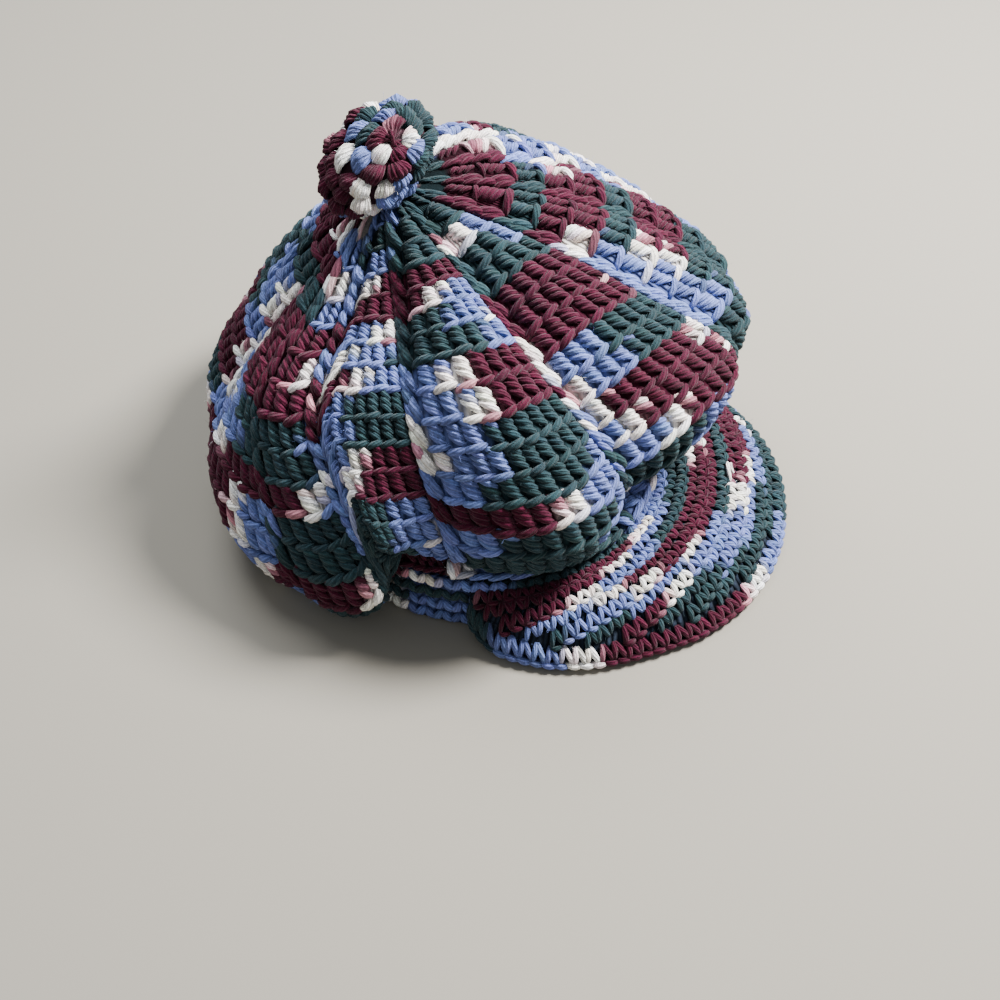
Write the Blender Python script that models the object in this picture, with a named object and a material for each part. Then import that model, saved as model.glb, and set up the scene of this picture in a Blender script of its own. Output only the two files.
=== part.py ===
"""Crocheted newsboy cap at rest on a flat surface: crown, band, peak and covered button.

Metres, +Z up, standing on z = 0.  The peak points to -Y.  Tables are in millimetres and
degrees, about the middle of the head opening; at the end everything is moved so that the
origin is the middle of the cap's footprint.
"""
from math import atan2, cos, hypot, pi, radians, sin

import bmesh
import bpy
import numpy as np
from mathutils import Matrix, Vector

MM = 0.001

# Driving dimensions, in millimetres
FABRIC = 4.2              # thickness of one layer of double crochet
GAP = 0.3                 # clearance between neighbouring pieces
BAND_HALF_WIDTH = 83.0    # outside of the band's lower rim, across the head
BAND_HALF_LENGTH = 90.0   # outside of the band's lower rim, front to back
BAND_HEIGHT = 32.0
BAND_COLUMNS = 72
BAND_TAPER = 0.965        # the band's top is this much narrower than its lower rim
PEAK_THICKNESS = 6.0
RIM_FLAT = 1.8            # how much of the rim's underside is pressed flat
PEAK_ARCH = 13.0          # how far the peak's middle is arched above a straight slope
BUTTON_HALF_LENGTH = 28.0 # the button is a soft disc pinched to an oval
BUTTON_HALF_WIDTH = 23.5
BUTTON_HEIGHT = 24.0

# Crown: where the ribs meet, and the middle of its fullest round
APEX = (53.5, 54.0, 159.0)
CROWN_MIDDLE = (31.0, 9.0)
RIBS = 12
GORE_STEPS = (0.0, 0.1, 0.28, 0.5, 0.72, 0.9)   # where the mesh has columns within a gore
ROUNDS = 27                                     # rows of faces from the apex to the band
ROUND_CROWDING = 1.25                           # above 1, rows lie closer together low down
SEAM_RISE = 3.5    # the crown comes straight down onto the band over this height
BLUR_STEPS = 5     # smoothing of the directions in which the fabric is thick
# Shares of the way from apex to band where a gore's bulge is full, starts to fade and ends
BULGE_FULL = 0.45
BULGE_FADES = 0.74
BULGE_ENDS = 0.92
LOBE_SAG = 0.3     # share of a lobe's bulge by which it hangs at its lower edge

# One row for each of the twelve ribs, anticlockwise from above, one for the deep fold
# beside rib 3 and one for the lobe that hangs over the band after rib 4.  Angle and reach are taken about CROWN_MIDDLE, height above the surface.
# puff: how far the fabric rises above the straight line from the apex to the shoulder
# shoulder: where the rib turns down; fold: its outermost place; tuck: its lowest place
# lobe: how far the gore after the rib bulges out between it and the next rib
RIB_COLUMNS = ("rib", "puff", "shoulder_angle", "shoulder_reach", "shoulder_height",
               "fold_angle", "fold_reach", "fold_height",
               "tuck_angle", "tuck_reach", "tuck_height", "lobe")
RIB_ROWS = (
    (0,     0,  79, 113,  92,   75, 137, 56,   73, 124, 24,  5),
    (1,    -3, 104, 107,  84,  107, 136, 43,  107, 119,  9,  8),
    (2,    -5, 122, 112,  84,  147, 134, 27,  148, 120, -2,  5),
    (3,    -6, 139,  98,  92,  168, 125, 34,  162, 115, 12,  5),
    (3.4,  -5, 151,  91,  98,  168, 117, 64,  173, 103, 50,  6),
    (4,    -3, 170,  82, 104,  184, 109, 49,  183, 100, 42, 20),
    (4.5,  -2, 192,  72, 107,  208, 112, 49,  207, 101, 43, 20),
    (5,     0, 218,  70, 113,  230, 104, 66,  229,  94, 43,  8),
    (6,     4, 271,  76, 125,  274, 127, 84,  273, 104, 52,  6),
    (7,     8, 301,  85, 130,  291, 132, 91,  291, 110, 56,  5),
    (8,    12, 325,  91, 130,  311, 127, 95,  311, 106, 52,  5),
    (9,    14, 349, 100, 131,  340, 123, 93,  340, 102, 46,  5),
    (10,   14, 375, 108, 127,  370, 125, 83,  370, 102, 38,  6),
    (11,    8, 405, 107, 112,  402, 129, 70,  402, 108, 30,  6),
)

# Peak: one row for each place along its rim.  Angle from the middle of the peak, positive
# toward +X; reach from the middle of the head opening; height of the rim's underside.
PEAK_COLUMNS = ("angle", "reach", "height")
PEAK_ROWS = (
    (-87, 88, 6), (-82, 97, 2), (-72, 107, 0), (-57, 119, 0), (-43, 129, 0), (-30, 141, 0),
    (-16, 151, 0), (0, 157, 1), (13, 157, 5), (22, 152, 9), (31, 141, 15), (43, 129, 18),
    (57, 119, 18), (72, 107, 17), (82, 97, 17), (87, 88, 18),
)
PEAK_COLUMNS_OF_MESH = 32
PEAK_ROWS_OF_MESH = 7
PEAK_ROOT_HEIGHT = 28.0   # top of the peak where it meets the band

BUTTON_MIDDLE = (52.3, 55.0, 172.0)
BUTTON_AXIS = (-0.35, 0.33, 0.88)
BUTTON_LONG_WAY = (0.66, -0.58, 0.48)

BURGUNDY = (0.19, 0.018, 0.045)
TEAL = (0.025, 0.07, 0.07)
BLUE = (0.12, 0.22, 0.55)


def clear_scene():
    for thing in list(bpy.data.objects):
        bpy.data.objects.remove(thing, do_unlink=True)


def yarn_material(name, colour):
    material = bpy.data.materials.new(name)
    material.use_nodes = True
    shader = material.node_tree.nodes["Principled BSDF"]
    shader.inputs["Base Color"].default_value = (*colour, 1.0)
    shader.inputs["Roughness"].default_value = 0.85
    shader.inputs["Metallic"].default_value = 0.0
    return material


def add_object(name, bm, material):
    mesh = bpy.data.meshes.new(name)
    bm.to_mesh(mesh)
    bm.free()
    mesh.shade_smooth()
    mesh.materials.append(material)
    thing = bpy.data.objects.new(name, mesh)
    bpy.context.scene.collection.objects.link(thing)
    return thing


def columns(names, rows):
    """The table as one array for each named column."""
    return dict(zip(names, np.array(rows, float).T))


def smooth_path(knots, points, at):
    """Cubic path through the points, with Catmull-Rom slopes for unevenly spaced knots."""
    knots, points, at = np.asarray(knots, float), np.asarray(points, float), np.asarray(at, float)
    points = points.reshape(len(knots), -1)
    steps = np.diff(points, axis=0) / np.diff(knots)[:, None]
    slopes = np.vstack([steps[:1], steps, steps[-1:]])
    before, after = np.diff(knots)[:-1, None], np.diff(knots)[1:, None]
    slopes = np.vstack([steps[0], (steps[:-1] * after + steps[1:] * before) / (before + after),
                        steps[-1]])
    span = np.clip(np.searchsorted(knots, at, side="right") - 1, 0, len(knots) - 2)
    width = (knots[span + 1] - knots[span])[:, None]
    u = (at - knots[span])[:, None] / width
    start, end = points[span], points[span + 1]
    return ((2 * u**3 - 3 * u**2 + 1) * start + (u**3 - 2 * u**2 + u) * width * slopes[span]
            + (3 * u**2 - 2 * u**3) * end + (u**3 - u**2) * width * slopes[span + 1])


def around(table, name, place):
    """A column of the rib table read at any place around the crown, without overshoot."""
    turn = 360.0 if name.endswith("angle") else 0.0
    ribs = np.concatenate([table["rib"][-2:] - RIBS, table["rib"], table["rib"][:3] + RIBS])
    values = np.concatenate([table[name][-2:] - turn, table[name], table[name][:3] + turn])
    place = place % RIBS
    k = int(np.searchsorted(ribs, place, side="right")) - 1
    steps = np.diff(values) / np.diff(ribs)

    def slope(n):
        same_way = steps[n - 1] * steps[n] > 0
        return 2 * steps[n - 1] * steps[n] / (steps[n - 1] + steps[n]) if same_way else 0.0

    width = ribs[k + 1] - ribs[k]
    u = (place - ribs[k]) / width
    return ((2 * u**3 - 3 * u**2 + 1) * values[k] + (u**3 - 2 * u**2 + u) * width * slope(k)
            + (3 * u**2 - 2 * u**3) * values[k + 1] + (u**3 - u**2) * width * slope(k + 1))


def about_crown(table, part, place):
    angle, reach, height = (around(table, part + name, place)
                            for name in ("_angle", "_reach", "_height"))
    return np.array([CROWN_MIDDLE[0] + reach * cos(radians(angle)),
                     CROWN_MIDDLE[1] + reach * sin(radians(angle)), height])


def band_outline(angle, height, inset=0.0):
    """A point on the band's outer face, or inset from it; the band tapers to its top."""
    scale = 1.0 + (BAND_TAPER - 1.0) * height / BAND_HEIGHT
    return Vector(((BAND_HALF_WIDTH * scale - inset) * cos(angle),
                   (BAND_HALF_LENGTH * scale - inset) * sin(angle), height))


def crown_meridian(place, table):
    """The outer face of the crown from its apex down to the band, at one place around it."""
    shoulder, fold, tuck = (about_crown(table, part, place)
                            for part in ("shoulder", "fold", "tuck"))
    middle = np.array(APEX) + 0.45 * (shoulder - APEX) + (0, 0, around(table, "puff", place))
    # A high gore comes straight down onto the band, a low one rises beside it and turns in over it.
    toward = atan2(tuck[1] / BAND_HALF_LENGTH, tuck[0] / BAND_HALF_WIDTH)
    low = float(np.clip((44.0 - tuck[2]) / 18.0, 0.0, 1.0))
    beside = np.array(band_outline(toward, BAND_HEIGHT, -1.8 * low))
    beside += (0, 0, 0.5 + SEAM_RISE * (1.0 - low))
    seam = np.array(band_outline(toward, BAND_HEIGHT, (FABRIC - 1.0) * low))
    seam += (0, 0, GAP + low)
    stations = np.array([APEX, middle, shoulder, fold, tuck, beside])
    spacing = np.linalg.norm(np.diff(stations, axis=0), axis=1) ** 0.6
    knots = np.concatenate([[0], np.cumsum(spacing)])
    fine = smooth_path(knots, stations, np.linspace(0, knots[-1], 240))
    length = np.concatenate([[0], np.cumsum(np.linalg.norm(np.diff(fine, axis=0), axis=1))])
    share = 1.0 - np.linspace(1, 0, ROUNDS) ** ROUND_CROWDING
    path = np.column_stack([np.interp(share * length[-1], length, fine[:, k]) for k in range(3)])

    # The gore bulges along the face's normal, most in its middle and halfway down.
    tangent = np.gradient(path, axis=0)
    sideways = np.cross((0, 0, 1), (fold - APEX) * (1, 1, 0))
    normal = np.cross(tangent, sideways)
    normal /= np.linalg.norm(normal, axis=1)[:, None]
    normal *= np.sign(normal[3][2])
    lobes = table["lobe"][table["rib"] % 1 == 0]
    along = np.sin(pi / 2 * np.minimum(share / BULGE_FULL, 1.0)) ** 1.5
    along *= np.cos(pi / 2 * np.clip((share - BULGE_FADES) / (BULGE_ENDS - BULGE_FADES), 0, 1))
    bulge = lobes[int(place) % RIBS] * sin(pi * (place % 1.0)) ** 0.9 * along
    path += normal * bulge[:, None]
    path[:, 2] = np.maximum(path[:, 2] - LOBE_SAG * bulge * share, 0.0)
    return np.vstack([path, seam])


def inner_face(outer):
    """The grid moved inward by the fabric's thickness, less where a tight fold pinches it."""
    around_it = np.roll(outer, -1, axis=0) - np.roll(outer, 1, axis=0)
    normal = np.cross(np.gradient(outer, axis=1), around_it)
    normal[:, 0] = (0, 0, 1)
    normal /= np.linalg.norm(normal, axis=2)[:, :, None]
    for _ in range(BLUR_STEPS):
        blurred = np.roll(normal, 1, axis=0) + np.roll(normal, -1, axis=0)
        blurred[:, 1:-1] += normal[:, 2:] + normal[:, :-2] + 2 * normal[:, 1:-1]
        blurred[:, 1:-1] /= 6.0
        blurred[:, 0] = (0, 0, 1)
        blurred[:, -1] = normal[:, -1]
        normal = blurred
    inner = outer - FABRIC * normal
    inner[:, -1, 2] = np.maximum(inner[:, -1, 2], outer[:, -1, 2])
    return inner


def crown_grid():
    table = columns(RIB_COLUMNS, RIB_ROWS)
    places = [gore + step for gore in range(RIBS) for step in GORE_STEPS]
    outer = np.array([crown_meridian(place, table) for place in places])
    return np.concatenate([outer, inner_face(outer)[:, ::-1]], axis=1)


def grid_mesh(bm, grid, closed):
    """Faces over a grid of points; each row's first point is shared if the grid has a pole."""
    rows = [[bm.verts.new(Vector(point) * MM) for point in row] for row in grid]
    last = len(rows) if closed else len(rows) - 1
    for i in range(last):
        here, there = rows[i], rows[(i + 1) % len(rows)]
        for j in range(len(here) - 1):
            bm.faces.new((here[j], here[j + 1], there[j + 1], there[j]))
    bmesh.ops.remove_doubles(bm, verts=bm.verts, dist=1e-6)
    return rows


def build_crown(material):
    bm = bmesh.new()
    grid_mesh(bm, crown_grid(), closed=True)
    return add_object("crown", bm, material)


def build_band(material):
    """A low tapered tube with level rims; its lower rim is what the cap stands on."""
    levels = (BAND_HEIGHT, BAND_HEIGHT / 2, 0.0)
    grid = []
    for angle in np.linspace(0, 2 * pi, BAND_COLUMNS, endpoint=False):
        outside = [band_outline(angle, height) for height in levels]
        inside = [band_outline(angle, height, FABRIC) for height in reversed(levels)]
        grid.append(outside + inside + outside[:1])
    bm = bmesh.new()
    grid_mesh(bm, grid, closed=True)
    return add_object("band", bm, material)


def peak_grid():
    table = columns(PEAK_COLUMNS, PEAK_ROWS)
    angles = np.linspace(table["angle"][0], table["angle"][-1], PEAK_COLUMNS_OF_MESH + 1)
    rim = smooth_path(table["angle"], np.column_stack([table["reach"], table["height"]]), angles)
    grid = []
    for angle, (reach, height) in zip(angles, rim):
        turn = radians(angle - 90.0)
        root_height = PEAK_ROOT_HEIGHT + 0.1 * height
        root = band_outline(atan2(sin(turn) / BAND_HALF_LENGTH, cos(turn) / BAND_HALF_WIDTH),
                            root_height)
        root_reach = hypot(root.x, root.y) - FABRIC / 2
        edge_height = height + PEAK_THICKNESS - RIM_FLAT
        width = max(reach - root_reach, 1.0)
        row = []
        for j in range(PEAK_ROWS_OF_MESH + 1):
            u = j / PEAK_ROWS_OF_MESH
            here = root_reach + width * u
            arch = PEAK_ARCH * sin(pi * u) * min(1.0, width / 60.0)
            row.append((here * cos(turn), here * sin(turn),
                        root_height + (edge_height - root_height) * u + arch))
        grid.append(row)
    return grid


def build_peak(material):
    bm = bmesh.new()
    grid_mesh(bm, peak_grid(), closed=False)
    peak = add_object("peak", bm, material)
    wall = peak.modifiers.new("wall", "SOLIDIFY")
    wall.thickness = PEAK_THICKNESS * MM
    wall.offset = -1.0

    # The peak's root is trimmed to the band's outer face, and its rim is flat where it rests.
    bm = bmesh.new()
    clearance = -(GAP + 0.05)
    grid = []
    for angle in np.linspace(0, 2 * pi, BAND_COLUMNS, endpoint=False):
        top = band_outline(angle, BAND_HEIGHT * 2, clearance)
        foot = band_outline(angle, -BAND_HEIGHT, clearance)
        grid.append([(0, 0, top.z), top, foot, (0, 0, foot.z)])
    grid_mesh(bm, grid, closed=True)
    room = add_object("room_for_band", bm, material)
    floor_bm = bmesh.new()
    bmesh.ops.create_cube(floor_bm, size=0.5)
    floor = add_object("resting_surface", floor_bm, material)
    floor.location.z = -0.25
    for cutter in (room, floor):
        cutter.hide_render = True
        cutter.display_type = "WIRE"
        cut = peak.modifiers.new(cutter.name, "BOOLEAN")
        cut.operation = "DIFFERENCE"
        cut.solver = "EXACT"
        cut.object = cutter
    return peak


def build_button(material):
    """A puffy disc turned about its own axis, pinched to an oval and seated on the crown."""
    bm = bmesh.new()
    steps = 9
    profile = []
    for k in range(steps + 1):
        turn = pi / 2 - pi * k / steps
        across = abs(cos(turn)) ** 0.75 * BUTTON_HALF_LENGTH if 0 < k < steps else 0.0
        profile.append(bm.verts.new(Vector((across, 0, sin(turn) * BUTTON_HEIGHT / 2)) * MM))
    for a, b in zip(profile, profile[1:]):
        bm.edges.new((a, b))
    button = add_object("button", bm, material)
    turned = button.modifiers.new("turned", "SCREW")
    turned.angle = 2 * pi
    turned.steps = turned.render_steps = 24
    turned.use_merge_vertices = True
    turned.merge_threshold = 0.0001
    turned.use_smooth_shade = True
    up = Vector(BUTTON_AXIS).normalized()
    long_way = Vector(BUTTON_LONG_WAY)
    long_way = (long_way - up * long_way.dot(up)).normalized()
    turn = Matrix((long_way, up.cross(long_way), up)).transposed().to_4x4()
    pinch = Matrix.Diagonal((1.0, BUTTON_HALF_WIDTH / BUTTON_HALF_LENGTH, 1.0, 1.0))
    button.matrix_world = Matrix.Translation(Vector(BUTTON_MIDDLE) * MM) @ turn @ pinch
    return button


def centre(things):
    """Move everything so that the origin is the middle of the cap's footprint box."""
    bpy.context.view_layer.update()
    seen = bpy.context.evaluated_depsgraph_get()
    corners = np.array([thing.matrix_world @ vertex.co for thing in things
                        for vertex in thing.evaluated_get(seen).data.vertices])
    middle = (corners.min(axis=0) + corners.max(axis=0)) / 2
    for thing in bpy.data.objects:
        thing.matrix_world = Matrix.Translation((-middle[0], -middle[1], 0)) @ thing.matrix_world


clear_scene()
cap = [
    build_crown(yarn_material("crown_yarn", BURGUNDY)),
    build_band(yarn_material("band_yarn", TEAL)),
    build_peak(yarn_material("peak_yarn", BLUE)),
    build_button(yarn_material("button_yarn", BURGUNDY)),
]
centre(cap)
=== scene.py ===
"""A crocheted newsboy cap in variegated cotton yarn, resting on a pale floor."""
from math import atan2, cos, hypot, pi, radians, sin

import bpy
import numpy as np
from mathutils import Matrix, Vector


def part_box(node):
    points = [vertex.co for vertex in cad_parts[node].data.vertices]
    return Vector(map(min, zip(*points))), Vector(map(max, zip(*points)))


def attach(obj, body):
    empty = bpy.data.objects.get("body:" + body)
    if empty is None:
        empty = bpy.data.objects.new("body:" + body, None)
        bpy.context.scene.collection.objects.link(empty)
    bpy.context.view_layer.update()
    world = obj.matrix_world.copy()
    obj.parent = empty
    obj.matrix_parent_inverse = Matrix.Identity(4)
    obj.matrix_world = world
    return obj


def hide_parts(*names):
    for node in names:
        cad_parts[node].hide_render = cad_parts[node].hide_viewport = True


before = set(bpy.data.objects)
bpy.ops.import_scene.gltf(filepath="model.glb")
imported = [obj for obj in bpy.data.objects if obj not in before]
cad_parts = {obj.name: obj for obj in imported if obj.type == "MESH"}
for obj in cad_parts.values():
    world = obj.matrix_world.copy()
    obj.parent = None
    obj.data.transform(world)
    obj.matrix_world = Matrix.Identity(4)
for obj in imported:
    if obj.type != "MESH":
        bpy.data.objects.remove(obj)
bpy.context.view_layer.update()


# ---------------------------------------------------------------- the crown's stitches
# Twelve gores of tall double crochet, worked in rounds from the top down to the band.
# Each stitch is a slanting post of loosely plied cotton with the yarn of the next round
# lying across its foot, which makes a ridge like a rope between the rounds.

MM = 0.001
low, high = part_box("band")
HEAD_MIDDLE = np.array([(low.x + high.x) / 2, (low.y + high.y) / 2, 0.0])

# The fabric's outer face, in millimetres and degrees about the middle of the head opening
FABRIC = 4.2
BAND_HALF_WIDTH, BAND_HALF_LENGTH, BAND_HEIGHT, BAND_TAPER = 83.0, 90.0, 32.0, 0.965
APEX = (53.5, 54.0, 159.0)
CROWN_MIDDLE = (31.0, 9.0)
RIBS = 12
RIB_COLUMNS = ("rib", "puff", "shoulder_angle", "shoulder_reach", "shoulder_height",
               "fold_angle", "fold_reach", "fold_height",
               "tuck_angle", "tuck_reach", "tuck_height", "lobe")
RIB_ROWS = (
    (0,     0,  79, 113,  92,   75, 137, 56,   73, 124, 24,  5),
    (1,    -3, 104, 107,  84,  107, 136, 43,  107, 119,  9,  8),
    (2,    -5, 122, 112,  84,  147, 134, 27,  148, 120, -2,  5),
    (3,    -6, 139,  98,  92,  168, 125, 34,  162, 115, 12,  5),
    (3.4,  -5, 151,  91,  98,  168, 117, 64,  173, 103, 50,  6),
    (4,    -3, 170,  82, 104,  184, 109, 49,  183, 100, 42, 20),
    (4.5,  -2, 192,  72, 107,  208, 112, 49,  207, 101, 43, 20),
    (5,     0, 218,  70, 113,  230, 104, 66,  229,  94, 43,  8),
    (6,     4, 271,  76, 125,  274, 127, 84,  273, 104, 52,  6),
    (7,     8, 301,  85, 130,  291, 132, 91,  291, 110, 56,  5),
    (8,    12, 325,  91, 130,  311, 127, 95,  311, 106, 52,  5),
    (9,    14, 349, 100, 131,  340, 123, 93,  340, 102, 46,  5),
    (10,   14, 375, 108, 127,  370, 125, 83,  370, 102, 38,  6),
    (11,    8, 405, 107, 112,  402, 129, 70,  402, 108, 30,  6),
)
COLUMNS_IN_GORE = 12
ROWS_IN_GORE = 80

# Stitches, in millimetres
ROUNDS = 18
STITCH_WIDTH = 8.2
ROUND_HEIGHT = 13.0
RIB_WIDTH = 10.0
YARN = 1.68                # half the width of one plied strand
RIDGE = 1.12               # the strand between two rounds is this much thicker
STRAND_SIDES, STRAND_RINGS = 6, 7

# The yarn's dye, in stitches of each colour along its length, and its colours
DYES = {
    "burgundy": (0.058, 0.0036, 0.0180),
    "teal": (0.015, 0.039, 0.047),
    "blue": (0.132, 0.178, 0.43),
    "cream": (0.97, 0.91, 0.86),
    "pink": (0.52, 0.22, 0.28),
}
DYE_ORDER = (("burgundy", 7.0), ("pink", 0.3), ("cream", 1.4), ("blue", 3.2), ("teal", 6.5),
             ("blue", 3.2), ("cream", 1.4), ("pink", 0.2))
# Where the dye stands in each round, from the top down: at the last stitch of the gore left
# of the front fold, then at the first stitch of the fold and of each of the next three gores
FOLD_GORE, BACK_GORE = 3, 11
ROUND_STARTS = (
    (22.2, 1.0, 3.0, 5.0, 7.0), (8.0, 10.0, 12.0, 14.0, 14.0), (11.0, 13.0, 15.0, 17.0, 2.5),
    (8.0, 10.0, 13.0, 8.0, 3.0), (19.7, 21.7, 2.5, 16.5, 14.0), (5.0, 2.0, 6.5, 13.5, 2.0),
    (7.4, 19.5, 16.2, 1.8, 22.6), (6.0, 7.6, 14.4, 1.5, 11.0), (18.0, 5.6, 20.4, 0.2, 20.9),
    (17.6, 9.9, 19.4, 9.2, 20.0), (8.4, 9.4, 8.9, 7.9, 10.2), (16.5, 19.9, 8.2, 22.2, 10.0),
    (17.0, 20.8, 9.9, 21.0, 15.9), (7.8, 13.5, 2.0, 19.0, 17.0), (16.5, 14.0, 9.9, 14.0, 8.7),
    (12.7, 13.0, 11.9, 11.5, 21.5), (8.0, 12.0, 12.5, 5.8, 14.8), (0.0, 2.0, 8.0, 19.0, 3.8),
)
MOST_STITCHES = 10

chance = np.random.default_rng(12)


def smooth_path(knots, points, at):
    """Cubic path through the points, with Catmull-Rom slopes for unevenly spaced knots."""
    knots, points, at = np.asarray(knots, float), np.asarray(points, float), np.asarray(at, float)
    points = points.reshape(len(knots), -1)
    steps = np.diff(points, axis=0) / np.diff(knots)[:, None]
    before, after = np.diff(knots)[:-1, None], np.diff(knots)[1:, None]
    slopes = np.vstack([steps[0], (steps[:-1] * after + steps[1:] * before) / (before + after),
                        steps[-1]])
    span = np.clip(np.searchsorted(knots, at, side="right") - 1, 0, len(knots) - 2)
    width = (knots[span + 1] - knots[span])[:, None]
    u = (at - knots[span])[:, None] / width
    start, end = points[span], points[span + 1]
    return ((2 * u**3 - 3 * u**2 + 1) * start + (u**3 - 2 * u**2 + u) * width * slopes[span]
            + (3 * u**2 - 2 * u**3) * end + (u**3 - u**2) * width * slopes[span + 1])


def around(table, name, place):
    """A column of the rib table read at any place around the crown, without overshoot."""
    turn = 360.0 if name.endswith("angle") else 0.0
    ribs = np.concatenate([table["rib"][-2:] - RIBS, table["rib"], table["rib"][:3] + RIBS])
    values = np.concatenate([table[name][-2:] - turn, table[name], table[name][:3] + turn])
    place = place % RIBS
    k = int(np.searchsorted(ribs, place, side="right")) - 1
    steps = np.diff(values) / np.diff(ribs)

    def slope(n):
        same_way = steps[n - 1] * steps[n] > 0
        return 2 * steps[n - 1] * steps[n] / (steps[n - 1] + steps[n]) if same_way else 0.0

    width = ribs[k + 1] - ribs[k]
    u = (place - ribs[k]) / width
    return ((2 * u**3 - 3 * u**2 + 1) * values[k] + (u**3 - 2 * u**2 + u) * width * slope(k)
            + (3 * u**2 - 2 * u**3) * values[k + 1] + (u**3 - u**2) * width * slope(k + 1))


def about_crown(table, part, place):
    angle, reach, height = (around(table, part + name, place)
                            for name in ("_angle", "_reach", "_height"))
    return np.array([CROWN_MIDDLE[0] + reach * cos(radians(angle)),
                     CROWN_MIDDLE[1] + reach * sin(radians(angle)), height])


def band_outline(angle, height, inset=0.0):
    scale = 1.0 + (BAND_TAPER - 1.0) * height / BAND_HEIGHT
    return np.array([(BAND_HALF_WIDTH * scale - inset) * cos(angle),
                     (BAND_HALF_LENGTH * scale - inset) * sin(angle), height])


def crown_meridian(place, table):
    """The outer face of the crown from its apex down to the band, at one place around it."""
    shoulder, fold, tuck = (about_crown(table, part, place)
                            for part in ("shoulder", "fold", "tuck"))
    middle = np.array(APEX) + 0.45 * (shoulder - APEX) + (0, 0, around(table, "puff", place))
    toward = atan2(tuck[1] / BAND_HALF_LENGTH, tuck[0] / BAND_HALF_WIDTH)
    lies_low = float(np.clip((44.0 - tuck[2]) / 18.0, 0.0, 1.0))
    beside = band_outline(toward, BAND_HEIGHT, -1.8 * lies_low)
    beside += (0, 0, 0.5 + 3.5 * (1.0 - lies_low))
    stations = np.array([APEX, middle, shoulder, fold, tuck, beside])
    spacing = np.linalg.norm(np.diff(stations, axis=0), axis=1) ** 0.6
    knots = np.concatenate([[0], np.cumsum(spacing)])
    fine = smooth_path(knots, stations, np.linspace(0, knots[-1], 240))
    length = np.concatenate([[0], np.cumsum(np.linalg.norm(np.diff(fine, axis=0), axis=1))])
    share = np.linspace(0, 1, ROWS_IN_GORE)
    path = np.column_stack([np.interp(share * length[-1], length, fine[:, k]) for k in range(3)])
    tangent = np.gradient(path, axis=0)
    normal = np.cross(tangent, np.cross((0, 0, 1), (fold - APEX) * (1, 1, 0)))
    normal /= np.linalg.norm(normal, axis=1)[:, None]
    normal *= np.sign(normal[6][2])
    lobes = table["lobe"][table["rib"] % 1 == 0]
    along = np.sin(pi / 2 * np.minimum(share / 0.45, 1.0)) ** 1.5
    along *= np.cos(pi / 2 * np.clip((share - 0.74) / 0.18, 0, 1))
    bulge = lobes[int(place) % RIBS] * sin(pi * (place % 1.0)) ** 0.9 * along
    path += normal * bulge[:, None]
    path[:, 2] = np.maximum(path[:, 2] - 0.3 * bulge * share, 0.0)
    return path


rib_table = dict(zip(RIB_COLUMNS, np.array(RIB_ROWS, float).T))
crown_face = np.array([crown_meridian(k / COLUMNS_IN_GORE, rib_table)
                       for k in range(RIBS * COLUMNS_IN_GORE)])
crown_out = np.cross(np.gradient(crown_face, axis=1),
                     np.roll(crown_face, -1, axis=0) - np.roll(crown_face, 1, axis=0))
crown_out[:, 0] = (0, 0, 1)
crown_out /= np.linalg.norm(crown_out, axis=2)[:, :, None]
for _ in range(6):
    blurred = np.roll(crown_out, 1, axis=0) + np.roll(crown_out, -1, axis=0)
    blurred[:, 1:-1] += crown_out[:, 2:] + crown_out[:, :-2] + 2 * crown_out[:, 1:-1]
    blurred[:, 0] = (0, 0, 1)
    blurred[:, -1] = crown_out[:, -1]
    crown_out = blurred / np.linalg.norm(blurred, axis=2)[:, :, None]


def on_crown(place, share):
    """Points on the crown's outer face and the outward directions there."""
    across = np.asarray(place, float) * COLUMNS_IN_GORE
    down = np.clip(np.asarray(share, float), 0, 1) * (ROWS_IN_GORE - 1)
    i = np.floor(across).astype(int)
    j = np.minimum(np.floor(down).astype(int), ROWS_IN_GORE - 2)
    fa, fd = (across - i)[..., None], (down - j)[..., None]
    i, i2 = i % len(crown_face), (i + 1) % len(crown_face)
    both = []
    for grid in (crown_face, crown_out):
        both.append((grid[i, j] * (1 - fd) + grid[i, j + 1] * fd) * (1 - fa)
                    + (grid[i2, j] * (1 - fd) + grid[i2, j + 1] * fd) * fa)
    both[1] = both[1] / np.linalg.norm(both[1], axis=-1)[..., None]
    return both


def gore_width(gore, share):
    """How wide one gore is at a share of the way down, in millimetres."""
    places = gore + np.linspace(0, 1, COLUMNS_IN_GORE + 1)
    points, _ = on_crown(places, np.full(len(places), share))
    return float(np.linalg.norm(np.diff(points, axis=0), axis=1).sum())


def round_height(gore, row):
    """How tall a round is at the middle of a gore, in millimetres."""
    points, _ = on_crown(np.full(2, gore + 0.5), np.array([row, row + 1]) / ROUNDS)
    return float(np.linalg.norm(points[1] - points[0]))


def round_plan(row):
    """How many stitches each gore has in a round, and where the dye stands at its first."""
    counts = []
    for gore in range(RIBS):
        width = gore_width(gore, (row + 0.5) / ROUNDS)
        between = width - min(RIB_WIDTH, 0.6 * width)
        counts.append(min(MOST_STITCHES, max(1, round(between / STITCH_WIDTH))))
    starts = [0.0] * RIBS
    left, *charted = ROUND_STARTS[row]
    starts[FOLD_GORE:FOLD_GORE + len(charted)] = charted
    for gore in range(FOLD_GORE + len(charted), BACK_GORE):
        starts[gore] = starts[gore - 1] + counts[gore - 1] + 1
    dye = left + 2
    for gore in (2, 1, 0, BACK_GORE):
        dye -= counts[gore] + 1
        starts[gore] = dye
    return counts, starts


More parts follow.
